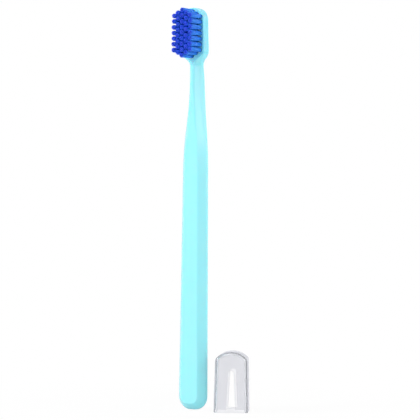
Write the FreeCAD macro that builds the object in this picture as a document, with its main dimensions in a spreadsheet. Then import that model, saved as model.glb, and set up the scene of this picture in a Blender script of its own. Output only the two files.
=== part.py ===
import FreeCAD, Part
import os

import Sketcher

# A manual toothbrush: a faceted one-piece handle, its bristle tufts with their metal anchors,
# and the clear cap that slips over the head. Millimetres.
# The handle stands on its butt end at the origin, +Z runs up to the tip of the head, and the
# bristles point along -Y. The cap stands beside the handle on the same level, taken off.

# Driving sizes: name, value, what it measures
SIZES = (
    ("brush_length", 175.7, "butt end to tip of the head"),
    ("handle_thickness", 7.0, "front facet to back facet"),
    ("side_facet", 1.5, "height of the flat side between its two slanted facets"),
    ("butt_width", 14.3, "width at the butt end"),
    ("butt_flat", 2.4, "flat stretch across the butt end"),
    ("grip_lean", 0.53, "lean of the grip's sides, in degrees"),
    ("narrowing_length", 43.0, "from the grip's full width to the neck"),
    ("neck_width", 5.9, "width of the neck"),
    ("neck_facet", 1.8, "width of the front facet at the neck"),
    ("neck_back_edge", 1.0, "bevel on the neck's back edges"),
    ("neck_straight", 4.4, "straight neck below the head's shoulders"),
    ("head_shoulder", 6.8, "length over which the neck widens to the head"),
    ("head_thickness", 4.8, "front to back of the head plate"),
    ("head_flare", 0.5, "how far each side of the head leans out from tip to base"),
    ("head_tip_flat", 0.9, "flat stretch across the tip of the head"),
    ("head_front_edge", 0.2, "bevel on the head's front edge"),
    ("head_back_edge", 1.0, "bevel on the head's back edge"),
    ("tuft_pitch", 2.45, "tuft to tuft along a column"),
    ("column_gap", 2.16, "column to column"),
    ("hole_wall", 0.65, "plastic left between two tuft holes of a column"),
    ("hole_floor", 1.4, "plastic left under a tuft hole"),
    ("side_margin", 0.6, "outer tuft holes to the head's side"),
    ("tip_margin", 0.6, "uppermost tuft hole to the tip of the head"),
    ("tuft_length", 8.6, "free length of the bristles"),
    ("tuft_clearance", 0.02, "tuft to the wall of its hole"),
    ("tip_gap", 0.45, "free space between two tuft tips of a column"),
    ("tip_dome", 0.35, "height of the rounded tuft tip"),
    ("anchor_height", 1.4, "anchor, along the depth of the hole"),
    ("anchor_thickness", 0.25, "anchor plate"),
    ("anchor_bite", 0.1, "how far an anchor cuts into the plastic each side of its hole"),
    ("anchor_clearance", 0.02, "anchor to the slit and the tuft around it"),
    ("fold_depth", 0.35, "folded bristles under an anchor"),
    ("cap_wall", 0.8, "wall of the cap"),
    ("cap_gap", 0.25, "cap to the head and the bristles inside it"),
    ("cap_reach", 6.25, "how far the cap reaches down past the base of the head"),
    ("cap_headroom", 0.4, "tip of the head to the cap's crown"),
    ("cap_crown_rise", 3.0, "height of the arched crown"),
    ("cap_corner_round", 2.0, "round between side and crown"),
    ("cap_edge_round", 1.2, "round along the cap's front and back edges"),
    ("slot_foot", 1.2, "rim left under the slot"),
    ("slot_crown_land", 8.0, "wall left above the slot"),
    ("slot_foot_width", 4.0, "width of the slot at its foot"),
    ("slot_top_width", 2.45, "width of the slot where its round top begins"),
    ("slot_top_rise", 0.9, "height of the slot's round top"),
    ("cap_yaw", 30.5, "turn of the standing cap, in degrees"),
    ("cap_x", 18.51, "place of the standing cap"),
    ("cap_y", 2.96, "place of the standing cap"),
)

# Tuft columns from left to right: each is a tuft shorter than the one beside it nearer the middle
COLUMN_NAMES = ("left_outer", "left_inner", "centre", "right_inner", "right_outer")
MIDDLE_COUNT = 9
OUTER_PLACE = len(COLUMN_NAMES) // 2
OUTER_COUNT = MIDDLE_COUNT - OUTER_PLACE
# Each column's name, its place counted in column gaps from the middle, and its number of tufts
COLUMNS = tuple(
    (name, place, MIDDLE_COUNT - abs(place))
    for place, name in enumerate(COLUMN_NAMES, start=-OUTER_PLACE)
)

# Sections of the narrowing and of the head's shoulder: share of that stretch's length, and share of
# the slope of the back, which starts below the shoulder
NARROWING_SECTIONS = ((0, 0), (1 / 6, 0), (1 / 3, 0), (1 / 2, 0), (2 / 3, 0.01), (5 / 6, 0.07), (1, 0.27))
SHOULDER_SECTIONS = ((0, 0.58), (1 / 4, 0.74), (1 / 2, 0.87), (3 / 4, 0.96), (1, 1))

# Sketch references: the axes are counted down from -1, the points of a curve up from 1
HORIZONTAL_AXIS, VERTICAL_AXIS = range(-1, -3, -1)
START, END, CENTRE = range(1, 4)
ORIGIN = (HORIZONTAL_AXIS, START)
FULL_TURN = 360

# Sizes worked out from the driving ones, as expressions
FRONT = "-sizes.handle_thickness / 2"
BACK = "sizes.handle_thickness / 2"
FACET_LEG = "(sizes.handle_thickness - sizes.side_facet) / 2"
NECK_HALF = "sizes.neck_width / 2"
NECK_INSET = "(sizes.neck_width - sizes.neck_facet) / 2"
TUFT_HOLE = "(sizes.tuft_pitch - sizes.hole_wall)"
TUFT_TIP = "(sizes.tuft_pitch - sizes.tip_gap)"
HOLE_DEPTH = "(sizes.head_thickness - sizes.hole_floor)"
HEAD_HALF = f"({OUTER_PLACE} * sizes.column_gap + {TUFT_HOLE} / 2 + sizes.side_margin)"
HEAD_BASE_HALF = f"({HEAD_HALF} + sizes.head_flare)"
HEAD_CORNER = f"({HEAD_HALF} - sizes.head_tip_flat / 2)"
HEAD_BACK = f"({FRONT} + sizes.head_thickness)"
FIELD_CENTRE = (
    f"(sizes.brush_length - sizes.tip_margin - {TUFT_HOLE} / 2"
    f" - {(MIDDLE_COUNT - 1) / 2} * sizes.tuft_pitch)"
)
HEAD_BASE = f"({FIELD_CENTRE} - {(OUTER_COUNT - 1) / 2} * sizes.tuft_pitch)"
NECK_TOP = f"({HEAD_BASE} - sizes.head_shoulder)"
NECK_END = f"({NECK_TOP} - sizes.neck_straight)"
GRIP_END = f"({NECK_END} - sizes.narrowing_length)"
BUTT_ROUND = "((sizes.butt_width - sizes.butt_flat) / 2)"
BUTT_FOOT = f"(sizes.butt_width / 2 - {BUTT_ROUND} * cos(sizes.grip_lean))"
GRIP_START = f"({BUTT_ROUND} * (1 + sin(sizes.grip_lean)))"
GRIP_HALF = f"(sizes.butt_width / 2 - tan(sizes.grip_lean) * ({GRIP_END} - {GRIP_START}))"
GRIP_INSET = f"({FACET_LEG} / cos(sizes.grip_lean))"
ANCHOR_BASE = f"({FRONT} + {HOLE_DEPTH} - sizes.fold_depth)"
ANCHOR_WIDTH = f"({TUFT_HOLE} + 2 * sizes.anchor_bite)"
CAP_HALF_TOP = f"({HEAD_HALF} + sizes.cap_gap + sizes.cap_wall)"
CAP_HALF_MOUTH = f"({CAP_HALF_TOP} + sizes.head_flare)"
CAP_DEPTH = "(sizes.head_thickness + sizes.tuft_length + 2 * sizes.cap_gap + 2 * sizes.cap_wall)"
CAP_HEIGHT = (
    f"(sizes.brush_length - {HEAD_BASE} + sizes.cap_reach + sizes.cap_headroom + sizes.cap_wall)"
)
CAP_SPRING = f"({CAP_HEIGHT} - sizes.cap_crown_rise)"
SLOT_TOP = f"({CAP_HEIGHT} - sizes.slot_crown_land)"
SLOT_SPRING = f"({SLOT_TOP} - sizes.slot_top_rise)"

# Two coordinates closer than this are the same when edges are picked
SAME = 1e-4


def arch_radius(half_width, rise):
    """Radius of an arch, as an expression of its half width and its rise."""
    return f"(({half_width}) ^ 2 + ({rise}) ^ 2) / (2 * ({rise}))"


def make_sheet(doc):
    """The spreadsheet that holds the driving sizes."""
    sheet = doc.addObject("Spreadsheet::Sheet", "sizes")
    for row, (name, value, meaning) in enumerate(SIZES, start=1):
        sheet.set(f"A{row}", name)
        sheet.set(f"B{row}", str(value))
        sheet.set(f"C{row}", meaning)
        sheet.setAlias(f"B{row}", name)
    doc.recompute()
    return sheet


def number(owner, expression):
    """Present value of an expression."""
    value = owner.evalExpression(expression)
    return float(getattr(value, "Value", value))


def origin_feature(body, role):
    """A body's own origin plane or axis."""
    return next(item for item in body.Origin.OriginFeatures if item.Role == role)


def add_body(doc, label):
    """An empty body that becomes one sub-part."""
    body = doc.addObject("PartDesign::Body", label)
    body.Label = label
    return body


def add_sketch(body, name, role, offset=None):
    """A sketch on one of the body's origin planes, moved along the plane's normal."""
    sketch = body.newObject("Sketcher::SketchObject", name)
    sketch.AttachmentSupport = [(origin_feature(body, role), "")]
    sketch.MapMode = "FlatFace"
    if offset is not None:
        sketch.setExpression("AttachmentOffset.Base.z", offset)
    return sketch


def add_feature(body, kind, name, **bound):
    """A feature of the body, with the given properties bound to expressions."""
    feature = body.newObject(f"PartDesign::{kind}", name)
    for prop, expression in bound.items():
        feature.setExpression(prop, expression)
    return feature


def bind_constraint(sketch, index, name, expression):
    """Names a dimension of a sketch and ties it to an expression."""
    sketch.renameConstraint(index, name)
    sketch.setExpression(f"Constraints.{name}", expression)


def bind_point(sketch, geometry, end, name, across, up):
    """Ties one point of a line, arc or circle to its two coordinates."""
    for axis, kind, expression, line in (
        ("across", "DistanceX", across, VERTICAL_AXIS),
        ("up", "DistanceY", up, HORIZONTAL_AXIS),
    ):
        if expression == "0":
            sketch.addConstraint(Sketcher.Constraint("PointOnObject", geometry, end, line))
            continue
        value = number(sketch, expression)
        index = sketch.addConstraint(Sketcher.Constraint(kind, *ORIGIN, geometry, end, value))
        bind_constraint(sketch, index, f"{name}_{axis}", expression)


def arc_through(start, end, radius):
    """An arc that turns left on its way from start to end, less than a half circle."""
    chord = end - start
    left = FreeCAD.Vector(-chord.y, chord.x, 0).normalize()
    middle = (start + end) / 2
    reach = (radius ** 2 - (chord.Length / 2) ** 2) ** 0.5
    crown = middle + left * (reach - radius)
    return Part.Arc(start, crown, end)


def draw_outline(sketch, corners, arcs=None):
    """A closed outline, anticlockwise, through corners given as expressions.

    arcs maps the number of a side to the expression of its radius.
    """
    arcs = arcs or {}
    points = [FreeCAD.Vector(number(sketch, x), number(sketch, y), 0) for x, y in corners]
    for side, start in enumerate(points):
        end = points[(side + 1) % len(points)]
        if side in arcs:
            geometry = arc_through(start, end, number(sketch, arcs[side]))
        else:
            geometry = Part.LineSegment(start, end)
        sketch.addGeometry(geometry)
    for side in range(len(points)):
        before = (side - 1) % len(points)
        sketch.addConstraint(Sketcher.Constraint("Coincident", before, END, side, START))
    for side, (across, up) in enumerate(corners):
        bind_point(sketch, side, START, f"corner_{side}", across, up)
    for side, radius in arcs.items():
        index = sketch.addConstraint(Sketcher.Constraint("Radius", side, number(sketch, radius)))
        bind_constraint(sketch, index, f"radius_{side}", radius)


def facet_edges(shape, half_thickness, top):
    """Names of the edges round the grip's front and back, its upper end left out."""
    names = []
    for index, edge in enumerate(shape.Edges, start=1):
        ends = edge.Vertexes
        on_face = all(abs(abs(end.Y) - half_thickness) < SAME for end in ends)
        on_end = all(abs(end.Z - top) < SAME for end in ends)
        if on_face and not on_end:
            names.append(f"Edge{index}")
    return names


def make_grip(doc, body):
    """Grip: a bar with a round butt end and leaning sides, and slanted facets along its edges."""
    outline = add_sketch(body, "grip_outline", "XZ_Plane")
    draw_outline(outline, (
        (f"-{BUTT_FOOT}", "0"),
        (BUTT_FOOT, "0"),
        ("sizes.butt_width / 2", GRIP_START),
        (GRIP_HALF, GRIP_END),
        (f"-{GRIP_HALF}", GRIP_END),
        ("-sizes.butt_width / 2", GRIP_START),
    ), {1: BUTT_ROUND, 5: BUTT_ROUND})
    bar = add_feature(body, "Pad", "grip_bar", Length="sizes.handle_thickness")
    bar.Profile = outline
    bar.Midplane = True
    doc.recompute()
    edges = facet_edges(bar.Shape, number(body, BACK), number(body, GRIP_END))
    facets = add_feature(body, "Chamfer", "grip_facets", Size=FACET_LEG)
    facets.Base = (bar, edges)
    doc.recompute()


def section_corners(half, back, front_inset, front_leg, back_inset, back_leg):
    """Eight corners of the bar's section with bevelled edges, seen from above."""
    right = (
        (f"({half}) - ({front_inset})", FRONT),
        (half, f"({FRONT}) + ({front_leg})"),
        (half, f"({back}) - ({back_leg})"),
        (f"({half}) - ({back_inset})", back),
    )
    return right + tuple((f"-({across})", depth) for across, depth in reversed(right))


def add_section(body, name, level, corners):
    """A sketch of one of the bar's sections, at its height."""
    sketch = add_sketch(body, name, "XY_Plane", level)
    draw_outline(sketch, corners)
    return sketch


def add_loft(doc, body, name, sketches, ruled):
    """A solid through sketched sections, with straight or smooth sides."""
    doc.recompute()
    loft = add_feature(body, "AdditiveLoft", name)
    loft.Profile = sketches[0]
    loft.Sections = sketches[1:]
    loft.Ruled = ruled
    doc.recompute()


def between(first, last, share):
    """Expression of a size part of the way from one value to another."""
    return f"(({first}) + {share} * (({last}) - ({first})))"


def gentle(share):
    """Share of a change that starts and ends gently, at a share of its way."""
    return 2 * share ** 2 if share < 0.5 else 1 - 2 * (1 - share) ** 2


def make_neck(doc, body):
    """Narrowing, neck and shoulder: the grip's section slims down, then widens and thins to the head."""
    grip = (GRIP_HALF, GRIP_INSET, FACET_LEG, GRIP_INSET, FACET_LEG)
    neck = (NECK_HALF, NECK_INSET, FACET_LEG, "sizes.neck_back_edge", "sizes.neck_back_edge")
    head = (
        HEAD_BASE_HALF,
        "sizes.head_front_edge",
        "sizes.head_front_edge",
        "sizes.head_back_edge",
        "sizes.head_back_edge",
    )
    sketches = []
    for name, start, length, first, last, sections in (
        ("narrowing", GRIP_END, "sizes.narrowing_length", grip, neck, NARROWING_SECTIONS),
        ("shoulder", NECK_TOP, "sizes.head_shoulder", neck, head, SHOULDER_SECTIONS),
    ):
        for step, (height, slope) in enumerate(sections):
            change = gentle(height)
            half, *bevels = [between(low, high, change) for low, high in zip(first, last)]
            corners = section_corners(half, between(BACK, HEAD_BACK, slope), *bevels)
            level = f"{start} + {height} * {length}"
            sketches.append(add_section(body, f"{name}_{step}", level, corners))
    add_loft(doc, body, "neck", sketches, ruled=False)


def make_head_plate(doc, body):
    """Head plate: a rounded outline whose front and back edges are bevelled."""
    sketches = []
    for name, level, inset in (
        ("head_front", f"-({FRONT})", "sizes.head_front_edge"),
        ("head_front_rim", f"-({FRONT}) - sizes.head_front_edge", "0"),
        ("head_back_rim", f"-{HEAD_BACK} + sizes.head_back_edge", "0"),
        ("head_back", f"-{HEAD_BACK}", "sizes.head_back_edge"),
    ):
        sketch = add_sketch(body, name, "XZ_Plane", level)
        base_half = f"({HEAD_BASE_HALF} - {inset})"
        half = f"({HEAD_HALF} - {inset})"
        tip = f"(sizes.brush_length - {inset})"
        corner = f"({HEAD_CORNER} - {inset})"
        draw_outline(sketch, (
            (f"-{base_half}", HEAD_BASE),
            (base_half, HEAD_BASE),
            (half, f"{tip} - {corner}"),
            (f"{half} - {corner}", tip),
            (f"{corner} - {half}", tip),
            (f"-{half}", f"{tip} - {corner}"),
        ), {2: corner, 4: corner})
        sketches.append(sketch)
    add_loft(doc, body, "head_plate", sketches, ruled=True)


def tuft_place(place, count, number_up):
    """Expressions of a tuft's place across and up the head."""
    steps = number_up - (count - 1) / 2
    return f"{place} * sizes.column_gap", f"({FIELD_CENTRE} + {steps} * sizes.tuft_pitch)"


def make_tuft_holes(doc, body):
    """Blind tuft holes, each with the slit that its anchor cuts on the way in."""
    last = body.Tip
    for name, place, count in COLUMNS:
        across, up = tuft_place(place, count, 0)
        circle = add_sketch(body, f"hole_{name}", "XZ_Plane", f"-({FRONT})")
        centre = FreeCAD.Vector(number(circle, across), number(circle, up), 0)
        radius = number(circle, f"{TUFT_HOLE} / 2")
        circle.addGeometry(Part.Circle(centre, FreeCAD.Vector(0, 0, 1), radius))
        index = circle.addConstraint(Sketcher.Constraint("Radius", 0, radius))
        bind_constraint(circle, index, "hole_radius", f"{TUFT_HOLE} / 2")
        bind_point(circle, 0, CENTRE, "hole", across if place else "0", up)
        hole = add_feature(body, "Pocket", f"hole_cut_{name}", Length=HOLE_DEPTH)
        hole.Profile = circle

        slit_sketch = add_sketch(body, f"slit_{name}", "XZ_Plane", f"-({FRONT})")
        half_wide = f"({ANCHOR_WIDTH} / 2 + sizes.anchor_clearance)"
        half_high = "(sizes.anchor_thickness / 2 + sizes.anchor_clearance)"
        draw_outline(slit_sketch, (
            (f"{across} - {half_wide}", f"{up} - {half_high}"),
            (f"{across} + {half_wide}", f"{up} - {half_high}"),
            (f"{across} + {half_wide}", f"{up} + {half_high}"),
            (f"{across} - {half_wide}", f"{up} + {half_high}"),
        ))
        slit_depth = f"{HOLE_DEPTH} - sizes.fold_depth + sizes.anchor_clearance"
        slit = add_feature(body, "Pocket", f"slit_cut_{name}", Length=slit_depth)
        slit.Profile = slit_sketch
        doc.recompute()

        column = add_feature(body, "LinearPattern", f"holes_{name}",
                             Length=f"{count - 1} * sizes.tuft_pitch")
        column.Originals = [hole, slit]
        column.Direction = (origin_feature(body, "Z_Axis"), [""])
        column.Occurrences = count
        body.Tip = column
        doc.recompute()
        if column.Shape.Volume >= last.Shape.Volume:
            raise RuntimeError(f"the tuft holes of column {name} cut nothing")
        last = column


def make_handle(doc):
    """The handle: grip, neck, shoulder and tufted head plate in one moulding."""
    body = add_body(doc, "handle")
    make_grip(doc, body)
    make_neck(doc, body)
    make_head_plate(doc, body)
    make_tuft_holes(doc, body)
    return body


def make_tuft(doc, label, across, up):
    """One tuft: bristles folded round an anchor, standing out of its hole to a domed tip."""
    body = add_body(doc, label)
    root = f"({TUFT_HOLE} / 2 - sizes.tuft_clearance)"
    tip = f"({TUFT_TIP} / 2)"
    tip_level = f"({FRONT} - sizes.tuft_length)"
    dome_level = f"({tip_level} + sizes.tip_dome)"
    root_level = f"({FRONT} + {HOLE_DEPTH} - sizes.tuft_clearance)"
    profile = add_sketch(body, f"{label}_profile", "XY_Plane")
    draw_outline(profile, (
        ("0", tip_level),
        (tip, dome_level),
        (root, FRONT),
        (root, root_level),
        ("0", root_level),
    ), {0: arch_radius(tip, "sizes.tip_dome")})
    bundle = add_feature(body, "Revolution", f"{label}_bundle")
    bundle.Profile = profile
    bundle.ReferenceAxis = (profile, ["V_Axis"])
    bundle.Angle = FULL_TURN

    window = add_sketch(body, f"{label}_window", "YZ_Plane")
    half_high = "(sizes.anchor_thickness / 2 + sizes.anchor_clearance)"
    low = f"({ANCHOR_BASE} - sizes.anchor_height - sizes.anchor_clearance)"
    high = f"({ANCHOR_BASE} + sizes.anchor_clearance)"
    draw_outline(window, (
        (low, f"-{half_high}"),
        (high, f"-{half_high}"),
        (high, half_high),
        (low, half_high),
    ))
    cut = add_feature(body, "Pocket", f"{label}_anchor_window", Length=f"2 * {TUFT_TIP}")
    cut.Profile = window
    cut.Midplane = True
    body.setExpression("Placement.Base.x", across)
    body.setExpression("Placement.Base.z", up)
    return body


def make_anchor(doc, name, across, up):
    """One anchor plate, across its tuft hole."""
    plate = doc.addObject("Part::Box", name)
    plate.setExpression("Length", ANCHOR_WIDTH)
    plate.setExpression("Width", "sizes.anchor_height")
    plate.setExpression("Height", "sizes.anchor_thickness")
    plate.setExpression("Placement.Base.x", f"{across} - {ANCHOR_WIDTH} / 2")
    plate.setExpression("Placement.Base.y", f"{ANCHOR_BASE} - sizes.anchor_height")
    plate.setExpression("Placement.Base.z", f"{up} - sizes.anchor_thickness / 2")
    return plate


def make_tufts_and_anchors(doc):
    """All tufts, each a sub-part of its own, and the anchors as one group of solids."""
    tufts = []
    anchors = []
    for name, place, count in COLUMNS:
        for number_up in range(count):
            across, up = tuft_place(place, count, number_up)
            tufts.append(make_tuft(doc, f"tuft_{name}_{number_up + 1}", across, up))
            anchors.append(make_anchor(doc, f"anchor_{name}_{number_up + 1}", across, up))
    group = doc.addObject("Part::Compound", "tuft_anchors")
    group.Label = "tuft_anchors"
    group.Links = anchors
    return tufts + [group]


def edges_along_depth(shape, level):
    """Names of the straight edges that run front to back at a given height."""
    names = []
    for index, edge in enumerate(shape.Edges, start=1):
        ends = edge.Vertexes
        same_place = abs(ends[0].X - ends[-1].X) < SAME
        if same_place and all(abs(end.Z - level) < SAME for end in ends):
            names.append(f"Edge{index}")
    return names


def edges_of_faces(shape, half_depth):
    """Names of the outline edges of the front and back faces, the mouth left out."""
    names = []
    for index, edge in enumerate(shape.Edges, start=1):
        ends = edge.Vertexes
        on_face = all(abs(abs(end.Y) - half_depth) < SAME for end in ends)
        on_mouth = all(abs(end.Z) < SAME for end in ends)
        if on_face and not on_mouth:
            names.append(f"Edge{index}")
    return names


def mouth_face(shape):
    """Name of the cap's lowest face, which is left open."""
    heights = [face.CenterOfMass.z for face in shape.Faces]
    return f"Face{heights.index(min(heights)) + 1}"


def make_cap(doc):
    """The cap: a thin box with an arched crown, open below, slotted front and back."""
    body = add_body(doc, "cap")
    outline = add_sketch(body, "cap_outline", "XZ_Plane")
    draw_outline(outline, (
        (f"-{CAP_HALF_MOUTH}", "0"),
        (CAP_HALF_MOUTH, "0"),
        (CAP_HALF_TOP, CAP_SPRING),
        (f"-{CAP_HALF_TOP}", CAP_SPRING),
    ), {2: arch_radius(CAP_HALF_TOP, "sizes.cap_crown_rise")})
    block = add_feature(body, "Pad", "cap_block", Length=CAP_DEPTH)
    block.Profile = outline
    block.Midplane = True
    doc.recompute()
    corners = add_feature(body, "Fillet", "cap_corners", Radius="sizes.cap_corner_round")
    corners.Base = (block, edges_along_depth(block.Shape, number(body, CAP_SPRING)))
    doc.recompute()
    rounds = add_feature(body, "Fillet", "cap_rounds", Radius="sizes.cap_edge_round")
    rounds.Base = (corners, edges_of_faces(corners.Shape, number(body, CAP_DEPTH) / 2))
    doc.recompute()
    shell = add_feature(body, "Thickness", "cap_shell", Value="sizes.cap_wall")
    shell.Base = (rounds, [mouth_face(rounds.Shape)])
    shell.Reversed = True
    doc.recompute()

    slot_outline = add_sketch(body, "slot_outline", "XZ_Plane")
    draw_outline(slot_outline, (
        ("-sizes.slot_foot_width / 2", "sizes.slot_foot"),
        ("sizes.slot_foot_width / 2", "sizes.slot_foot"),
        ("sizes.slot_top_width / 2", SLOT_SPRING),
        ("-sizes.slot_top_width / 2", SLOT_SPRING),
    ), {2: arch_radius("sizes.slot_top_width / 2", "sizes.slot_top_rise")})
    slot = add_feature(body, "Pocket", "cap_slot", Length=CAP_DEPTH)
    slot.Profile = slot_outline
    slot.Midplane = True
    doc.recompute()
    if slot.Shape.Volume >= shell.Shape.Volume:
        raise RuntimeError("the cap's slot cut nothing")
    body.setExpression("Placement.Base.x", "sizes.cap_x")
    body.setExpression("Placement.Base.y", "sizes.cap_y")
    body.setExpression("Placement.Rotation.Angle", "sizes.cap_yaw")
    return body


def check(doc, subparts):
    """Stops if any object failed, or a sub-part has no sound solid."""
    for item in doc.Objects:
        if "Invalid" in item.State or "Error" in item.State:
            raise RuntimeError(f"{item.Label} failed to build")
    for item in subparts:
        if item.Shape.isNull() or not item.Shape.isValid() or not item.Shape.Solids:
            raise RuntimeError(f"{item.Label} has no valid solid")


def main():
    doc = FreeCAD.newDocument("ManualToothbrush")
    make_sheet(doc)
    subparts = [make_handle(doc), make_cap(doc)]
    subparts += make_tufts_and_anchors(doc)
    doc.recompute()
    check(doc, subparts)
    os.makedirs("parts", exist_ok=True)
    for item in subparts:
        item.Shape.exportStep(f"parts/{item.Label}.step")
        print(f"{item.Label}: {len(item.Shape.Solids)} solid(s), {item.Shape.Volume:.2f} mm3")


main()
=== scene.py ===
import math
import random

import bmesh
import bpy
from mathutils import Matrix, Quaternion, Vector


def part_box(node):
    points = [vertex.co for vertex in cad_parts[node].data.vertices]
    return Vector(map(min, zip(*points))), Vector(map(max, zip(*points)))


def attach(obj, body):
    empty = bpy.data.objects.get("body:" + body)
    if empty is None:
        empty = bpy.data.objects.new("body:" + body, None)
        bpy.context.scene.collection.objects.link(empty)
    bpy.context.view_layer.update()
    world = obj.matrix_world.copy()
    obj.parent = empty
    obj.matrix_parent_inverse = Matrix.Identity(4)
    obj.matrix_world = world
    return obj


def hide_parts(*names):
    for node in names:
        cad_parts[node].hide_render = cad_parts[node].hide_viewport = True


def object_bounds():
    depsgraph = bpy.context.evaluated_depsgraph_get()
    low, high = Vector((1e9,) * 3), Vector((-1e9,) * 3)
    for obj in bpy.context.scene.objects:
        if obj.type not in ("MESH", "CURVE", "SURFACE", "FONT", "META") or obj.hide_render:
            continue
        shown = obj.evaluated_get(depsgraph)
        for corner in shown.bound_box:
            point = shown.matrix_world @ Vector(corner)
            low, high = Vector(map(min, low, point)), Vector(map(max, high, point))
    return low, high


# A manual toothbrush with its clear head cap standing beside it. Metres, in the part's own frame:
# the handle stands on its butt end at the origin, +Z runs up to the head, the bristles point along -Y.

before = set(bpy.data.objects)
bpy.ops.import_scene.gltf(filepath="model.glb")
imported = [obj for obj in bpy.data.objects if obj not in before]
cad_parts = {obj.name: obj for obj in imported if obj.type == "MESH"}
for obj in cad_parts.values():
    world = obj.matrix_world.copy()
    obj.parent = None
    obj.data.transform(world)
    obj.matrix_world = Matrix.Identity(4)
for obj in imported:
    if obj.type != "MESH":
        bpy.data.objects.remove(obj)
cad_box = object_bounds()


def box_centre(node):
    """Middle of a solid's box."""
    low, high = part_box(node)
    return (low + high) / 2


MM = 0.001
SAME_PLACE = 1e-7

# Handle, from the solid's box and the sizes that its shape is drawn with
HANDLE_LOW, HANDLE_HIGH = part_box("handle")
BUTT_HALF = HANDLE_HIGH.x
FRONT = HANDLE_LOW.y
BACK = -FRONT
LENGTH = HANDLE_HIGH.z
SIDE_FACET = 1.5 * MM
FACET_LEG = (BACK - FRONT - SIDE_FACET) / 2
BUTT_FLAT = 2.4 * MM
BUTT_ROUND = BUTT_HALF - BUTT_FLAT / 2
GRIP_LEAN = math.radians(0.53)
GRIP_START = BUTT_ROUND * (1 + math.sin(GRIP_LEAN))
NARROWING = 43 * MM
NECK_HALF = 5.9 / 2 * MM
NECK_FACET_HALF = 1.8 / 2 * MM
NECK_INSET = NECK_HALF - NECK_FACET_HALF
NECK_BACK_EDGE = 1.0 * MM
NECK_STRAIGHT = 4.4 * MM
HEAD_SHOULDER = 6.8 * MM
HEAD_THICKNESS = 4.8 * MM
HEAD_BACK = FRONT + HEAD_THICKNESS
HEAD_FLARE = 0.5 * MM
HEAD_TIP_FLAT = 0.9 * MM
HEAD_FRONT_EDGE = 0.2 * MM
HEAD_BACK_EDGE = 1.0 * MM
GRIP_EDGE_ROUND = 0.5 * MM
NECK_EDGE_ROUND = 1.7 * MM
NECK_BACK_ROUND = 0.7 * MM
HEAD_FRONT_ROUND = 0.2 * MM
HEAD_BACK_ROUND = 0.7 * MM
HANDLE_CRISP = math.radians(40)
# Steps along the handle's outline, round its edges and across its faces
BUTT_STEPS = 18
GRIP_STEPS = 16
NARROWING_STEPS = 36
NECK_STEPS = 3
SHOULDER_STEPS = 16
HEAD_STEPS = 6
TIP_STEPS = 20
EDGE_STEPS = 5
HALF_COLUMNS = 2
FACE_COLUMNS = 2 * HALF_COLUMNS

# Tuft holes: the places come from the solids
ANCHOR_NODE = "tuft_anchors"
TUFT_NODES = sorted(
    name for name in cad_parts
    if name.startswith("tuft_") and name != ANCHOR_NODE
)
TUFT_CENTRES = [box_centre(name) for name in TUFT_NODES]
TUFT_PITCH = 2.45 * MM
TUFT_HOLE = 1.8 * MM
HOLE_DEPTH = 3.4 * MM
HOLE_SIDES = 24
SIDE_MARGIN = 0.6 * MM

# Bristles: packed in the holes down to just above the anchors, spreading a little to their ends
FILAMENT_COUNT = 54
FILAMENT_WIDTH = 0.2 * MM
FILAMENT_SIDES = 6
FILAMENT_FOOT = 1.55 * MM
FILAMENT_STRAY = 0.012 * MM
END_ANGLES = (0, 35, 65)
GOLDEN_ANGLE = math.pi * (3 - math.sqrt(5))
FOOT_ROOM = 0.03 * MM
TUFT_DOME = 0.35 * MM
TUFT_SPREAD = 0.13 * MM
TUFT_LEAN = 0.08 * MM
TUFT_UNEVENNESS = 0.2 * MM
TRIM_UNEVENNESS = 0.03 * MM
TUFT_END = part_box(TUFT_NODES[0])[0].y
# Length from the bristles' ends over which painted shade darkens them and turns them more violet
PAINTED_END_SHADE = 1.6 * MM

# Head and neck, from the places of the tufts
HEAD_BASE = min(box_centre(name).z for name in TUFT_NODES if "outer" in name)
HEAD_HALF = max(centre.x for centre in TUFT_CENTRES) + TUFT_HOLE / 2 + SIDE_MARGIN
HEAD_BASE_HALF = HEAD_HALF + HEAD_FLARE
HEAD_CORNER = HEAD_HALF - HEAD_TIP_FLAT / 2
NECK_TOP = HEAD_BASE - HEAD_SHOULDER
NECK_END = NECK_TOP - NECK_STRAIGHT
GRIP_END = NECK_END - NARROWING
GRIP_HALF = BUTT_HALF - math.tan(GRIP_LEAN) * (GRIP_END - GRIP_START)
# Slope of the back: heights and shares of its way from the grip's back to the head's
BACK_SLOPE = (
    (GRIP_END + NARROWING / 2, 0.0),
    (GRIP_END + NARROWING * 2 / 3, 0.01),
    (GRIP_END + NARROWING * 5 / 6, 0.07),
    (NECK_END, 0.27),
    (NECK_TOP, 0.58),
    (NECK_TOP + HEAD_SHOULDER / 4, 0.74),
    (NECK_TOP + HEAD_SHOULDER / 2, 0.87),
    (NECK_TOP + HEAD_SHOULDER * 3 / 4, 0.96),
    (HEAD_BASE, 1.0),
)

# Cap: its inside follows the head and the bristles
CAP_PLACE = box_centre("cap")
CAP_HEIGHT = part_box("cap")[1].z
CAP_YAW = math.radians(30.5)
CAP_WALL = 0.8 * MM
CAP_GAP = 0.25 * MM
CAP_HALF_TOP = HEAD_HALF + CAP_GAP + CAP_WALL
CAP_HALF_MOUTH = CAP_HALF_TOP + HEAD_FLARE
CAP_HALF_DEPTH = (HEAD_BACK - TUFT_END) / 2 + CAP_GAP + CAP_WALL
CAP_CROWN_RISE = 3.0 * MM
CAP_SPRING = CAP_HEIGHT - CAP_CROWN_RISE
CAP_CORNER = 2.0 * MM
CAP_EDGE_ROUND = 1.2 * MM
CAP_INNER_ROUND = 1.0 * MM
CAP_LIP_ROUND = 0.14 * MM
CAP_CRISP = math.radians(60)
CAP_SIDE_STEPS = 8
CAP_CORNER_STEPS = 8
CAP_CROWN_STEPS = 10
CAP_EDGE_STEPS = 6
SLOT_ARCH_STEPS = 12
SLOT_FOOT = 1.2 * MM
SLOT_CROWN_LAND = 8.0 * MM
SLOT_TOP = CAP_HEIGHT - SLOT_CROWN_LAND
SLOT_TOP_RISE = 0.9 * MM
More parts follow.
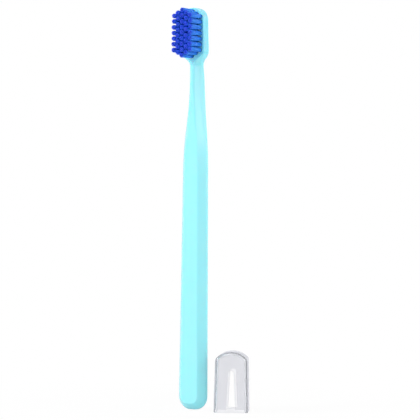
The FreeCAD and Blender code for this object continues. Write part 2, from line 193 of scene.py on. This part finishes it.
SLOT_FOOT_HALF = 4.0 / 2 * MM
SLOT_TOP_HALF = 2.45 / 2 * MM

# Camera: turned to the right of the brush's front, level, at mid height
CAMERA_TURN = math.radians(35)
CAMERA_DISTANCE = 0.95
CAMERA_HEIGHT = 87.4 * MM
CAMERA_ASIDE = 6.53 * MM
CAMERA_ROLL = math.radians(0.6)
SENSOR = 36.0
LENS = 185.7

# Stage: white lamps, by name, place, width and power
LAMPS = (
    ("key", (-0.52, -0.74, 0.60), 0.28, 6.4),
    ("gloss", (0.72, -0.34, 0.24), 0.18, 0.74),
    ("right", (0.80, 0.30, 0.30), 0.35, 1.9),
    ("top", (0.05, -0.15, 0.95), 0.4, 2.4),
    ("back", (0.25, 0.85, 0.35), 0.5, 1.8),
)
# White surroundings, their light on the object, and the pale grey that gloss sees in their place
WHITE = (1, 1, 1)
SURROUNDINGS_LIGHT = 0.43
GLOSS_PALE = (0.78, 0.79, 0.84)
FLOOR_PAPER = (0.80, 0.80, 0.80)
FLOOR_RADIUS = 1.2
FLOOR_SIDES = 96
# The floor's share of plain white, which grows between two distances from the handle
FLOOR_WHITE = 0.94
FADE_START = 0.04
FADE_END = 0.16

# Range in which most of a noise texture's values lie
NOISE_LOW = 0.3
NOISE_HIGH = 0.7


def gentle(share):
    """Share of a change that starts and ends gently, at a share of its way."""
    return 2 * share ** 2 if share < 0.5 else 1 - 2 * (1 - share) ** 2


def mix(first, last, share):
    """A value part of the way from one to another."""
    return first + (last - first) * share


def arc_points(centre, radius, start, end, steps):
    """Points on an arc, with the direction from each to the centre."""
    points = []
    for step in range(steps + 1):
        angle = mix(start, end, step / steps)
        out = Vector((math.cos(angle), math.sin(angle)))
        points.append((centre + out * radius, -out))
    return points


def line_points(start, end, inward, steps):
    """Points on a straight stretch of an outline, with the direction into the piece."""
    return [(start.lerp(end, step / steps), inward) for step in range(steps + 1)]


def join_stretches(*stretches):
    """One outline of several stretches, each starting where the last one ends."""
    outline = list(stretches[0])
    for stretch in stretches[1:]:
        outline += stretch[1:]
    return outline


def fillet_profile(corners, rounds, steps):
    """An open profile past corners, each inner corner rounded, from the first round to the last."""
    profile = []
    for before, corner, after, radius in zip(corners, corners[1:], corners[2:], rounds):
        first = (before - corner).normalized()
        second = (after - corner).normalized()
        half = first.angle(second) / 2
        centre = corner + (first + second).normalized() * (radius / math.sin(half))
        foot = corner + first * (radius / math.tan(half)) - centre
        turn = math.pi - 2 * half
        if first.cross(second) > 0:
            turn = -turn
        for step in range(steps + 1):
            angle = turn * step / steps
            out = Matrix.Rotation(angle, 2) @ foot
            profile.append(centre + out)
    return profile


def new_object(name, data):
    """An object in the scene that shows a mesh, a lamp or a camera."""
    thing = bpy.data.objects.new(name, data)
    bpy.context.scene.collection.objects.link(thing)
    return thing


def mesh_from(bm, name, crisp):
    """A smooth-shaded mesh of a bmesh, with edges over an angle kept crisp."""
    bmesh.ops.remove_doubles(bm, verts=bm.verts, dist=SAME_PLACE)
    bmesh.ops.recalc_face_normals(bm, faces=bm.faces)
    mesh = bpy.data.meshes.new(name)
    bm.to_mesh(mesh)
    bm.free()
    mesh.polygons.foreach_set("use_smooth", [True] * len(mesh.polygons))
    mesh.set_sharp_from_angle(angle=crisp)
    return mesh


def add_flat_normals(thing):
    """Keeps flat faces flat beside their rounded edges."""
    weighted = thing.modifiers.new("flat_faces", "WEIGHTED_NORMAL")
    weighted.keep_sharp = True


def add_strip(bm, first, second):
    """Quads between two rows of corners."""
    for corner in range(len(first) - 1):
        quad = (first[corner], first[corner + 1], second[corner + 1], second[corner])
        bm.faces.new([bm.verts.new(point) for point in quad])


def mirrored(points):
    """The same points on the other side of the middle."""
    return [Vector((-point.x, point.y, point.z)) for point in points]


# Handle
def back_slope(height):
    """Share of the way from the grip's back to the head's, at a height, eased between the given ones."""
    heights = [level for level, share in BACK_SLOPE]
    shares = [share for level, share in BACK_SLOPE]
    if height <= heights[0]:
        return 0.0
    if height >= heights[-1]:
        return 1.0
    slopes = [0.0]
    for before in range(len(heights) - 2):
        slopes.append((shares[before + 2] - shares[before]) / (heights[before + 2] - heights[before]))
    slopes.append(0.0)
    index = next(place for place, level in enumerate(heights) if level > height) - 1
    span = heights[index + 1] - heights[index]
    share = (height - heights[index]) / span
    rest = 1 - share
    ease = share * share * (3 - 2 * share)
    bow = share * rest * span * (rest * slopes[index] - share * slopes[index + 1])
    return mix(shares[index], shares[index + 1], ease) + bow


def handle_stations():
    """Right half of the handle in front view, butt to tip: place, direction inward and bevels at each.

    The bevels are the front one's inset and depth, the back one's leg, and the two edge rounds.
    """
    left, up, down = Vector((-1, 0)), Vector((0, 1)), Vector((0, -1))
    grip_bevels = (FACET_LEG, FACET_LEG, FACET_LEG, GRIP_EDGE_ROUND, GRIP_EDGE_ROUND)
    neck_bevels = (NECK_INSET, FACET_LEG, NECK_BACK_EDGE, NECK_EDGE_ROUND, NECK_BACK_ROUND)
    head_bevels = (HEAD_FRONT_EDGE, HEAD_FRONT_EDGE, HEAD_BACK_EDGE, HEAD_FRONT_ROUND, HEAD_BACK_ROUND)
    foot = Vector((BUTT_HALF - BUTT_ROUND * math.cos(GRIP_LEAN), 0))
    butt_centre = foot + up * BUTT_ROUND
    grip = join_stretches(
        line_points(Vector((0, 0)), foot, up, HALF_COLUMNS),
        arc_points(butt_centre, BUTT_ROUND, -math.pi / 2, GRIP_LEAN, BUTT_STEPS),
        line_points(
            Vector((BUTT_HALF, GRIP_START)), Vector((GRIP_HALF, GRIP_END)), left, GRIP_STEPS
        ),
    )
    stations = [(place, inward, grip_bevels) for place, inward in grip]
    grip_end = (GRIP_HALF, grip_bevels)
    neck = (NECK_HALF, neck_bevels)
    head_start = (HEAD_BASE_HALF, head_bevels)
    for start, length, steps, (low_half, low_bevels), (high_half, high_bevels) in (
        (GRIP_END, NARROWING, NARROWING_STEPS, grip_end, neck),
        (NECK_END, NECK_STRAIGHT, NECK_STEPS, neck, neck),
        (NECK_TOP, HEAD_SHOULDER, SHOULDER_STEPS, neck, head_start),
    ):
        for step in range(1, steps + 1):
            change = gentle(step / steps)
            place = Vector((mix(low_half, high_half, change), start + length * step / steps))
            bevels = [mix(low, high, change) for low, high in zip(low_bevels, high_bevels)]
            stations.append((place, left, bevels))
    tip_centre = Vector((HEAD_TIP_FLAT / 2, LENGTH - HEAD_CORNER))
    head = join_stretches(
        line_points(
            Vector((HEAD_BASE_HALF, HEAD_BASE)), Vector((HEAD_HALF, tip_centre.y)), left, HEAD_STEPS
        ),
        arc_points(tip_centre, HEAD_CORNER, 0, math.pi / 2, TIP_STEPS),
        line_points(Vector((tip_centre.x, LENGTH)), Vector((0, LENGTH)), down, HALF_COLUMNS),
    )
    return stations + [(place, inward, head_bevels) for place, inward in head[1:]]


def handle_section(height, bevels):
    """Half section as (distance in from the outline, depth), from the front facet to the back one."""
    inset, front_leg, back_leg, front_round, back_round = bevels
    back = mix(BACK, HEAD_BACK, back_slope(height))
    corners = [Vector(pair) for pair in (
        (inset + front_round, FRONT),
        (inset, FRONT),
        (0, FRONT + front_leg),
        (0, back - back_leg),
        (back_leg, back),
        (back_leg + back_round, back),
    )]
    rounds = (front_round, front_round, back_round, back_round)
    return fillet_profile(corners, rounds, EDGE_STEPS)


def fill_with_holes(bm, centres):
    """Closes the head's front round the tuft holes, and adds the holes' walls and floors."""
    bmesh.ops.remove_doubles(bm, verts=bm.verts, dist=SAME_PLACE)
    rim = [edge for edge in bm.edges if edge.is_boundary]
    loops = []
    for centre in centres:
        top, floor = [], []
        for side in range(HOLE_SIDES):
            angle = 2 * math.pi * side / HOLE_SIDES
            x = centre.x + TUFT_HOLE / 2 * math.cos(angle)
            z = centre.z + TUFT_HOLE / 2 * math.sin(angle)
            top.append(bm.verts.new((x, FRONT, z)))
            floor.append(bm.verts.new((x, FRONT + HOLE_DEPTH, z)))
        for side in range(HOLE_SIDES):
            after = (side + 1) % HOLE_SIDES
            rim.append(bm.edges.new((top[side], top[after])))
            loops.append((top[side], top[after], floor[after], floor[side]))
        loops.append(floor)
    bmesh.ops.triangle_fill(bm, use_beauty=True, edges=rim, normal=(0, -1, 0))
    for loop in loops:
        bm.faces.new(loop)


def add_flat_face(bm, stations, rings, corner, top):
    """The flat face between the two halves of the rings at one of their corners, up to a height."""
    rows = []
    for (place, inward, bevels), ring in zip(stations, rings):
        if place.y < top + SAME_PLACE:
            right = ring[corner]
            left = mirrored([right])[0]
            rows.append([left.lerp(right, column / FACE_COLUMNS) for column in range(FACE_COLUMNS + 1)])
    for lower, upper in zip(rows, rows[1:]):
        add_strip(bm, lower, upper)


def make_handle(material):
    """The one-piece handle: faceted grip, neck, shoulders and the head plate with its tuft holes."""
    bm = bmesh.new()
    stations = handle_stations()
    rings = []
    for place, inward, bevels in stations:
        ring = []
        for inset, depth in handle_section(place.y, bevels):
            spot = place + inward * inset
            ring.append(Vector((spot.x, depth, spot.y)))
        rings.append(ring)
    for lower, upper in zip(rings, rings[1:]):
        add_strip(bm, lower, upper)
        add_strip(bm, mirrored(lower), mirrored(upper))
    # The front face ends at the head's base, where the plate with the holes begins
    sides = slice(HALF_COLUMNS, len(rings) - HALF_COLUMNS)
    for corner, top in ((0, HEAD_BASE), (-1, LENGTH)):
        add_flat_face(bm, stations[sides], rings[sides], corner, top)
    fill_with_holes(bm, TUFT_CENTRES)
    handle = new_object("handle_moulding", mesh_from(bm, "handle_moulding", HANDLE_CRISP))
    add_flat_normals(handle)
    handle.data.materials.append(material)
    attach(handle, "brush")
    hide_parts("handle")


# Bristles
def filament_levels(length):
    """Rings of a filament as (distance from its foot, share of its width), with a rounded end."""
    radius = FILAMENT_WIDTH / 2
    levels = [(0.0, 1.0), (length / 2, 1.0)]
    for angle in END_ANGLES:
        bow = math.radians(angle)
        levels.append((length - radius + radius * math.sin(bow), math.cos(bow)))
    return levels


def add_filament(points, faces, foot, tip):
    """One filament from its foot to its rounded tip."""
    length = (tip - foot).length
    course = (tip - foot) / length
    start = len(points)
    levels = filament_levels(length)
    for distance, share in levels:
        middle = foot + course * distance
        for side in range(FILAMENT_SIDES):
            angle = 2 * math.pi * side / FILAMENT_SIDES
            radius = FILAMENT_WIDTH / 2 * share
            points.append(middle + Vector((math.cos(angle) * radius, 0, math.sin(angle) * radius)))
    points.append(tip)
    for level in range(len(levels) - 1):
        for side in range(FILAMENT_SIDES):
            after = (side + 1) % FILAMENT_SIDES
            low = start + level * FILAMENT_SIDES
            high = low + FILAMENT_SIDES
            faces.append((low + side, low + after, high + after, high + side))
    crown = start + (len(levels) - 1) * FILAMENT_SIDES
    for side in range(FILAMENT_SIDES):
        faces.append((crown + side, crown + (side + 1) % FILAMENT_SIDES, len(points) - 1))
    faces.append(tuple(start + side for side in reversed(range(FILAMENT_SIDES))))


def make_tuft(node, number, material):
    """A tuft: filaments packed in its hole, trimmed to a slightly domed end."""
    low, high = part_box(node)
    middle = (low + high) / 2
    draw = random.Random(number)
    foot_reach = (TUFT_HOLE - FILAMENT_WIDTH) / 2 - FOOT_ROOM
    tip_reach = (high.x - low.x - FILAMENT_WIDTH) / 2 + TUFT_SPREAD
    points, faces = [], []
    start = draw.uniform(0, 2 * math.pi)
    lean = Vector((draw.gauss(0, 1), 0, draw.gauss(0, 1))) * TUFT_LEAN
    shortness = draw.uniform(0, TUFT_UNEVENNESS)
    for filament in range(FILAMENT_COUNT):
        share = math.sqrt((filament + 0.5) / FILAMENT_COUNT)
        angle = start + GOLDEN_ANGLE * filament
        across = Vector((math.cos(angle), 0, math.sin(angle))) * share
        stray = Vector((draw.gauss(0, 1), 0, draw.gauss(0, 1))) * FILAMENT_STRAY
        trim = shortness + TUFT_DOME * share ** 2 + abs(draw.gauss(0, TRIM_UNEVENNESS))
        foot = Vector((middle.x, FRONT + FILAMENT_FOOT, middle.z)) + across * foot_reach
        tip = Vector((middle.x, low.y + trim, middle.z)) + across * tip_reach + lean + stray
        add_filament(points, faces, foot, tip)
    mesh = bpy.data.meshes.new(f"{node}_bristles")
    mesh.from_pydata(points, [], faces)
    mesh.polygons.foreach_set("use_smooth", [True] * len(mesh.polygons))
    mesh.materials.append(material)
    tuft = new_object(f"{node}_bristles", mesh)
    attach(tuft, "brush")
    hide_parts(node)


# Anchors
def dress_anchors(material):
    """The metal anchors, shown as their solids are."""
    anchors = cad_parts[ANCHOR_NODE]
    anchors.data.materials.clear()
    anchors.data.materials.append(material)


# Cap
def cap_outline():
    """Right half of the cap in front view, mouth to crown: places and directions inward."""
    mouth = Vector((CAP_HALF_MOUTH, 0))
    spring = Vector((CAP_HALF_TOP, CAP_SPRING))
    along = (spring - mouth).normalized()
    inward = Vector((-along.y, along.x))
    crown_radius = (CAP_HALF_TOP ** 2 + CAP_CROWN_RISE ** 2) / (2 * CAP_CROWN_RISE)
    crown_centre = Vector((0, CAP_HEIGHT - crown_radius))
    base = mouth + inward * CAP_CORNER - crown_centre
    half = base.dot(along)
    reach = math.sqrt(half ** 2 - base.dot(base) + (crown_radius - CAP_CORNER) ** 2) - half
    corner = crown_centre + base + along * reach
    meeting = math.atan2(corner.y - crown_centre.y, corner.x - crown_centre.x)
    lean = math.atan2(-inward.y, -inward.x)
    return join_stretches(
        line_points(mouth, corner - inward * CAP_CORNER, inward, CAP_SIDE_STEPS),
        arc_points(corner, CAP_CORNER, lean, meeting, CAP_CORNER_STEPS),
        arc_points(crown_centre, crown_radius, meeting, math.pi / 2, CAP_CROWN_STEPS),
    )


def slot_outline():
    """The wedge-shaped slot, anticlockwise from its right foot."""
    spring = SLOT_TOP - SLOT_TOP_RISE
    radius = (SLOT_TOP_HALF ** 2 + SLOT_TOP_RISE ** 2) / (2 * SLOT_TOP_RISE)
    centre = Vector((0, SLOT_TOP - radius))
    start = math.atan2(spring - centre.y, SLOT_TOP_HALF)
    arch = arc_points(centre, radius, start, math.pi - start, SLOT_ARCH_STEPS)
    places = [place for place, inward in arch]
    return [Vector((SLOT_FOOT_HALF, SLOT_FOOT)), *places, Vector((-SLOT_FOOT_HALF, SLOT_FOOT))]


def cap_skin(outline, inset, radius):
    """Rows of one skin of the cap round its depth, an inset below the outside and with rounded edges."""
    rows = []
    edge = CAP_HALF_DEPTH - inset - radius
    for place, inward in outline:
        row = []
        for side, start, end in ((-1, math.pi / 2, 0), (1, 0, math.pi / 2)):
            for step in range(CAP_EDGE_STEPS + 1):
                angle = mix(start, end, step / CAP_EDGE_STEPS)
                spot = place + inward * (inset + radius * (1 - math.cos(angle)))
                row.append(Vector((spot.x, side * (edge + radius * math.sin(angle)), max(spot.y, 0))))
        rows.append(row)
    return rows


def add_cap_face(bm, rows, corner):
    """A flat face of the cap round its slot, from one corner of each row: its border and its slot."""
    border = [row[corner] for row in rows]
    border += mirrored(reversed(border[:-1]))
    depth = border[0].y
    slot = [Vector((place.x, depth, place.y)) for place in slot_outline()]
    edges = []
    for loop in (border, slot):
        corners = [bm.verts.new(point) for point in loop]
        edges += [bm.edges.new(pair) for pair in zip(corners, corners[1:] + corners[:1])]
    inward = Vector((0, -depth, 0)).normalized()
    bmesh.ops.triangle_fill(bm, use_beauty=True, edges=edges, normal=inward)
    return border, slot


def make_cap(material):
    """The clear cap: a thin shell with a slot through its front and back."""
    bm = bmesh.new()
    outline = cap_outline()
    outer = cap_skin(outline, 0, CAP_EDGE_ROUND)
    inner = cap_skin(outline, CAP_WALL, CAP_INNER_ROUND)
    for rows in (outer, inner):
        for lower, upper in zip(rows, rows[1:]):
            add_strip(bm, lower, upper)
            add_strip(bm, mirrored(lower), mirrored(upper))
    add_strip(bm, outer[0], inner[0])
    add_strip(bm, mirrored(outer[0]), mirrored(inner[0]))
    for corner in (0, -1):
        outer_border, outer_slot = add_cap_face(bm, outer, corner)
        inner_border, inner_slot = add_cap_face(bm, inner, corner)
        add_strip(bm, outer_slot + outer_slot[:1], inner_slot + inner_slot[:1])
        add_strip(bm, [outer_border[0], outer_border[-1]], [inner_border[0], inner_border[-1]])
    place = Matrix.Translation((CAP_PLACE.x, CAP_PLACE.y, 0)) @ Matrix.Rotation(CAP_YAW, 4, "Z")
    bmesh.ops.transform(bm, matrix=place, verts=bm.verts)
    cap = new_object("cap_clear", mesh_from(bm, "cap_clear", CAP_CRISP))
    lip = cap.modifiers.new("lip_rounds", "BEVEL")
    lip.width = CAP_LIP_ROUND
    lip.segments = 2
    lip.limit_method = "ANGLE"
    lip.angle_limit = CAP_CRISP
    add_flat_normals(cap)
    cap.data.materials.append(material)
    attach(cap, "cap")
    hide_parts("cap")


# Materials
def new_material(name):
    """A node material with its principled shader."""
    material = bpy.data.materials.new(name)
    material.use_nodes = True
    shader = material.node_tree.nodes["Principled BSDF"]
    return material, material.node_tree, shader


def add_noise(tree, scale, detail, stretch=(1, 1, 1)):
    """Noise over the piece's own coordinates, in features per metre."""
    coordinates = tree.nodes.new("ShaderNodeTexCoord")
    mapping = tree.nodes.new("ShaderNodeMapping")
    mapping.inputs["Scale"].default_value = stretch
    noise = tree.nodes.new("ShaderNodeTexNoise")
    noise.inputs["Scale"].default_value = scale
    noise.inputs["Detail"].default_value = detail
    tree.links.new(coordinates.outputs["Object"], mapping.inputs["Vector"])
    tree.links.new(mapping.outputs["Vector"], noise.inputs["Vector"])
    return noise.outputs["Fac"]


def add_ramp(tree, source, low, high, start=NOISE_LOW, end=NOISE_HIGH):
    """A value between low and high as the source goes from start to end."""
    ramp = tree.nodes.new("ShaderNodeMapRange")
    ramp.inputs["From Min"].default_value = start
    ramp.inputs["From Max"].default_value = end
    ramp.inputs["To Min"].default_value = low
    ramp.inputs["To Max"].default_value = high
    tree.links.new(source, ramp.inputs["Value"])
    return ramp.outputs["Result"]


def add_colours(tree, source, low, high, start=NOISE_LOW, end=NOISE_HIGH):
    """A colour between low and high as the source goes from start to end."""
    ramp = tree.nodes.new("ShaderNodeValToRGB")
    first, last = ramp.color_ramp.elements
    first.position, first.color = start, (*low, 1)
    last.position, last.color = end, (*high, 1)
    tree.links.new(source, ramp.inputs["Fac"])
    return ramp.outputs["Color"]


def add_object_axis(tree, axis):
    """Place along one axis of the object."""
    coordinates = tree.nodes.new("ShaderNodeTexCoord")
    split = tree.nodes.new("ShaderNodeSeparateXYZ")
    tree.links.new(coordinates.outputs["Object"], split.inputs["Vector"])
    return split.outputs[axis]


def find_socket(sockets, identifier):
    """The socket with an identifier, on a node where several have the same name."""
    return next(socket for socket in sockets if socket.identifier == identifier)


def add_blend(tree, share, first, last):
    """A colour that goes from first to last as the share goes from 0 to 1."""
    blend = tree.nodes.new("ShaderNodeMix")
    blend.data_type = "RGBA"
    tree.links.new(share, find_socket(blend.inputs, "Factor_Float"))
    tree.links.new(first, find_socket(blend.inputs, "A_Color"))
    tree.links.new(last, find_socket(blend.inputs, "B_Color"))
    return find_socket(blend.outputs, "Result_Color")


def add_math(tree, operation, first, second):
    """Two values joined by an operation."""
    joined = tree.nodes.new("ShaderNodeMath")
    joined.operation = operation
    tree.links.new(first, joined.inputs[0])
    tree.links.new(second, joined.inputs[1])
    return joined.outputs["Value"]


def add_bump(tree, shader, source, height):
    """Fine relief of a given height."""
    bump = tree.nodes.new("ShaderNodeBump")
    bump.inputs["Distance"].default_value = height
    tree.links.new(source, bump.inputs["Height"])
    tree.links.new(bump.outputs["Normal"], shader.inputs["Normal"])


def handle_plastic():
    """Light aqua moulded plastic, glossy and a little see-through, bluer on the head and shoulder with
    painted blue light from the bristles and painted shade under them.
    """
    material, tree, shader = new_material("handle_plastic")
    flow = add_noise(tree, 60, 2, (1, 1, 0.2))
    body = add_colours(tree, flow, (0.340, 0.855, 0.940), (0.355, 0.865, 0.950))
    # Painted light and shade: the head and its shoulder are tinted bluer to stand for the bristles' blue
    # light through and onto the plastic and for the shade beneath the bristles
    painted_blue_light_and_shade = add_colours(tree, flow, (0.250, 0.770, 0.985), (0.260, 0.780, 0.995))
    painted_blue_share = add_ramp(tree, add_object_axis(tree, "Z"), 0, 1, NECK_TOP, HEAD_BASE + TUFT_PITCH)
    tree.links.new(add_blend(tree, painted_blue_share, body, painted_blue_light_and_shade), shader.inputs["Base Color"])
    tree.links.new(add_ramp(tree, add_noise(tree, 300, 3), 0.20, 0.23), shader.inputs["Roughness"])
    shader.inputs["IOR"].default_value = 1.46
    shader.inputs["Subsurface Weight"].default_value = 0.5
    shader.inputs["Subsurface Radius"].default_value = (0.2, 0.9, 1.0)
    shader.inputs["Subsurface Scale"].default_value = 2.0 * MM
    add_bump(tree, shader, add_noise(tree, 500, 2), 0.001 * MM)
    return material


def bristle_nylon():
    """Royal blue nylon filaments, each a little lighter or darker, with painted shade that makes each
    darker and more violet at its end.
    """
    material, tree, shader = new_material("bristle_nylon")
    geometry = tree.nodes.new("ShaderNodeNewGeometry")
    shade = geometry.outputs["Random Per Island"]
    flank = add_colours(tree, shade, (0.020, 0.22, 0.98), (0.050, 0.36, 1.0), 0, 1)
    # Painted shade: the darker, more violet colour near the ends stands in for the shading of the tips
    # and of the gaps between them
    end = add_colours(tree, shade, (0.032, 0.061, 0.80), (0.066, 0.124, 0.96), 0, 1)
    outward = add_object_axis(tree, "Y")
    end_shade_share = add_ramp(tree, outward, 1, 0, TUFT_END, TUFT_END + PAINTED_END_SHADE)
    tree.links.new(add_blend(tree, end_shade_share, flank, end), shader.inputs["Base Color"])
    shader.inputs["Roughness"].default_value = 0.36
    shader.inputs["IOR"].default_value = 1.42
    add_bump(tree, shader, add_noise(tree, 9000, 2), 0.002 * MM)
    return material


def cap_clear():
    """Clear plastic, faintly grey-blue through its thickness."""
    material, tree, shader = new_material("cap_clear")
    shader.inputs["Base Color"].default_value = (0.905, 0.905, 0.925, 1)
    shader.inputs["Transmission Weight"].default_value = 0.9
    shader.inputs["IOR"].default_value = 1.28
    tree.links.new(add_ramp(tree, add_noise(tree, 500, 4), 0.06, 0.10), shader.inputs["Roughness"])
    add_bump(tree, shader, add_noise(tree, 260, 2), 0.006 * MM)
    absorption = tree.nodes.new("ShaderNodeVolumeAbsorption")
    absorption.inputs["Color"].default_value = (0.50, 0.62, 0.78, 1)
    absorption.inputs["Density"].default_value = 35
    output = tree.nodes["Material Output"]
    tree.links.new(absorption.outputs["Volume"], output.inputs["Volume"])
    return material


def anchor_metal():
    """Drawn brass strip, with fine lines along it."""
    material, tree, shader = new_material("anchor_metal")
    lines = add_noise(tree, 900, 3, (1, 1, 20))
    brass = add_colours(tree, lines, (0.72, 0.52, 0.20), (0.85, 0.66, 0.30))
    tree.links.new(brass, shader.inputs["Base Color"])
    shader.inputs["Metallic"].default_value = 1.0
    tree.links.new(add_ramp(tree, lines, 0.25, 0.4), shader.inputs["Roughness"])
    add_bump(tree, shader, lines, 0.003 * MM)
    return material


# Stage
def seen_directly(tree):
    """1 for rays from the camera and through clear plastic, 0 for gloss and for light on the object."""
    path = tree.nodes.new("ShaderNodeLightPath")
    return add_math(tree, "MAXIMUM", path.outputs["Is Camera Ray"], path.outputs["Is Transmission Ray"])


def seen_in_gloss(tree):
    """1 for rays that a glossy surface reflects."""
    return tree.nodes.new("ShaderNodeLightPath").outputs["Is Glossy Ray"]


def add_glow(tree, colour):
    """A surface that shows one colour and takes no light."""
    glow = tree.nodes.new("ShaderNodeEmission")
    glow.inputs["Color"].default_value = (*colour, 1)
    return glow.outputs["Emission"]


def add_surroundings(tree, colour, strength):
    """A background of one colour."""
    background = tree.nodes.new("ShaderNodeBackground")
    background.inputs["Color"].default_value = (*colour, 1)
    background.inputs["Strength"].default_value = strength
    return background.outputs["Background"]


def add_choice(tree, share, first, last):
    """A shader that goes from first to last as the share goes from 0 to 1."""
    choice = tree.nodes.new("ShaderNodeMixShader")
    tree.links.new(share, choice.inputs["Fac"])
    tree.links.new(first, choice.inputs[1])
    tree.links.new(last, choice.inputs[2])
    return choice.outputs["Shader"]


def make_world():
    """White surroundings, a little greyer in gloss, with soft light from them on the object."""
    world = bpy.data.worlds.new("studio")
    bpy.context.scene.world = world
    world.use_nodes = True
    tree = world.node_tree
    tree.nodes.clear()
    light = add_surroundings(tree, WHITE, SURROUNDINGS_LIGHT)
    pale = add_surroundings(tree, GLOSS_PALE, 1)
    white = add_surroundings(tree, WHITE, 1)
    indirect = add_choice(tree, seen_in_gloss(tree), light, pale)
    output = tree.nodes.new("ShaderNodeOutputWorld")
    tree.links.new(add_choice(tree, seen_directly(tree), indirect, white), output.inputs["Surface"])


def floor_paper():
    """Pale paper that takes the shadow near the object and fades into the white surroundings."""
    material = bpy.data.materials.new("floor")
    material.use_nodes = True
    tree = material.node_tree
    tree.nodes.clear()
    paper = tree.nodes.new("ShaderNodeBsdfDiffuse")
    paper.inputs["Color"].default_value = (*FLOOR_PAPER, 1)
    coordinates = tree.nodes.new("ShaderNodeTexCoord")
    distance = tree.nodes.new("ShaderNodeVectorMath")
    distance.operation = "LENGTH"
    tree.links.new(coordinates.outputs["Object"], distance.inputs[0])
    fade = add_ramp(tree, distance.outputs["Value"], FLOOR_WHITE, 1, FADE_START, FADE_END)
    plain = add_math(tree, "MULTIPLY", fade, seen_directly(tree))
    indirect = add_choice(tree, seen_in_gloss(tree), paper.outputs["BSDF"], add_glow(tree, GLOSS_PALE))
    output = tree.nodes.new("ShaderNodeOutputMaterial")
    surface = add_choice(tree, plain, indirect, add_glow(tree, WHITE))
    tree.links.new(surface, output.inputs["Surface"])
    return material


def make_floor(material):
    """A round floor, level with the foot of the object."""
    bm = bmesh.new()
    bmesh.ops.create_circle(bm, cap_ends=True, segments=FLOOR_SIDES, radius=FLOOR_RADIUS)
    bmesh.ops.translate(bm, verts=bm.verts, vec=(0, 0, cad_box[0][2]))
    mesh = bpy.data.meshes.new("floor")
    bm.to_mesh(mesh)
    bm.free()
    mesh.materials.append(material)
    new_object("floor", mesh)


def make_lamp(name, place, width, power):
    """A soft square lamp that points at the middle of the object."""
    light = bpy.data.lights.new(name, "AREA")
    light.size = width
    light.energy = power
    lamp = new_object(name, light)
    lamp.location = place
    aim = Vector((0, 0, LENGTH / 2)) - Vector(place)
    lamp.rotation_euler = aim.to_track_quat("-Z", "Y").to_euler()


def make_camera():
    """The camera, level with the middle of the brush."""
    toward = Vector((math.sin(CAMERA_TURN), -math.cos(CAMERA_TURN), 0))
    right = Vector((math.cos(CAMERA_TURN), math.sin(CAMERA_TURN), 0))
    data = bpy.data.cameras.new("camera")
    data.sensor_width = SENSOR
    data.lens = LENS
    camera = new_object("camera", data)
    camera.location = Vector((0, 0, CAMERA_HEIGHT)) + right * CAMERA_ASIDE + toward * CAMERA_DISTANCE
    aim = (-toward).to_track_quat("-Z", "Y") @ Quaternion((0, 0, 1), CAMERA_ROLL)
    camera.rotation_euler = aim.to_euler()
    bpy.context.scene.camera = camera


make_handle(handle_plastic())
nylon = bristle_nylon()
for tuft_number, tuft_node in enumerate(TUFT_NODES):
    make_tuft(tuft_node, tuft_number, nylon)
make_cap(cap_clear())
dress_anchors(anchor_metal())

make_world()
make_floor(floor_paper())
for lamp in LAMPS:
    make_lamp(*lamp)
make_camera()
bpy.context.scene.view_settings.view_transform = "Standard"
